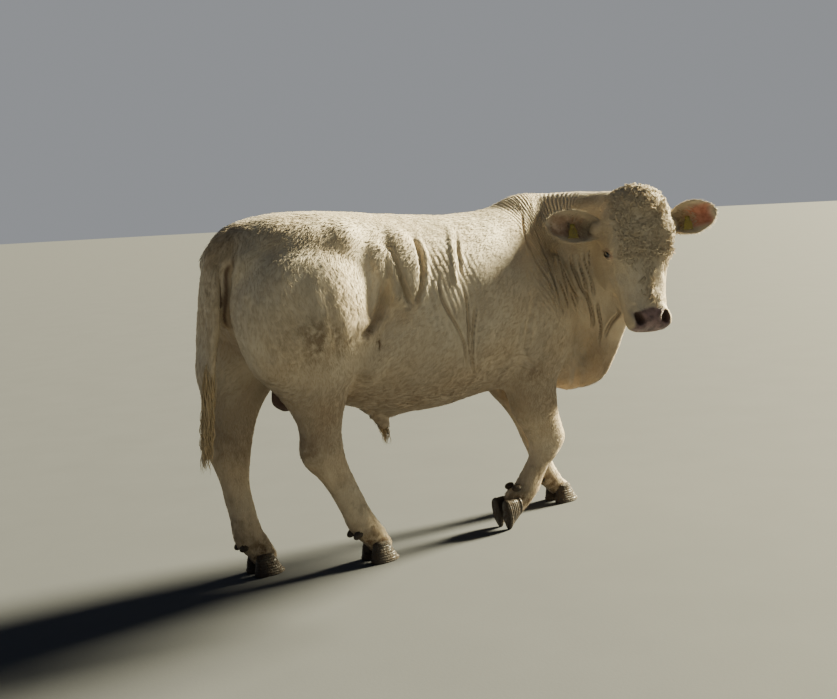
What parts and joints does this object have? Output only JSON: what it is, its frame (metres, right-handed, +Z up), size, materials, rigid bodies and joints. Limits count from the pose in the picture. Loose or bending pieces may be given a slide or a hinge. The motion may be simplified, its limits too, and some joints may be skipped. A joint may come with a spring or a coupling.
{
  "type": "charolais bull",
  "caption": "Life-size still model of a polled cream-white bull in a slow walk, head turned to its right, for a museum floor.",
  "frame": {"origin": "on the floor, under the middle of the bull's box", "axes": "+X from the tail to the chest, +Y to the bull's left, +Z up"},
  "size_m": [2.0636, 1.0332, 1.4292],
  "materials": {
    "coat": "short cream-white hair, flat on the body, curly on the poll",
    "switch": "long yellowish tail hair in flat locks",
    "bare_skin": "dark brown bare skin",
    "horn": "dark hoof horn, muddy and matt",
    "eye": "wet and almost black",
    "tag": "blank yellow plastic"
  },
  "bodies": {
    "root": {"torso": "coat", "neck": "coat", "head": "coat", "ear_right": "coat", "ear_left": "coat", "eye_right": "eye", "eye_left": "eye", "ear_tag_right": "tag", "ear_tag_left": "tag", "tail": "coat", "tail_switch": "switch", "scrotum": "bare_skin", "sheath": "coat", "leg_hind_right_upper": "coat", "leg_hind_right_lower": "coat", "leg_hind_right_pastern": "coat", "leg_hind_left_upper": "coat", "leg_hind_left_lower": "coat", "leg_hind_left_pastern": "coat", "leg_fore_right_upper": "coat", "leg_fore_right_lower": "coat", "leg_fore_right_pastern": "coat", "leg_fore_left_upper": "coat", "leg_fore_left_lower": "coat", "leg_fore_left_pastern": "coat", "claw_hind_right_outer": "horn", "claw_hind_right_inner": "horn", "claw_hind_left_outer": "horn", "claw_hind_left_inner": "horn", "claw_fore_right_outer": "horn", "claw_fore_right_inner": "horn", "claw_fore_left_outer": "horn", "claw_fore_left_inner": "horn", "dewclaw_hind_right_outer": "horn", "dewclaw_hind_right_inner": "horn", "dewclaw_hind_left_outer": "horn", "dewclaw_hind_left_inner": "horn", "dewclaw_fore_right_outer": "horn", "dewclaw_fore_right_inner": "horn", "dewclaw_fore_left_outer": "horn", "dewclaw_fore_left_inner": "horn"}
  },
  "joints": []
}
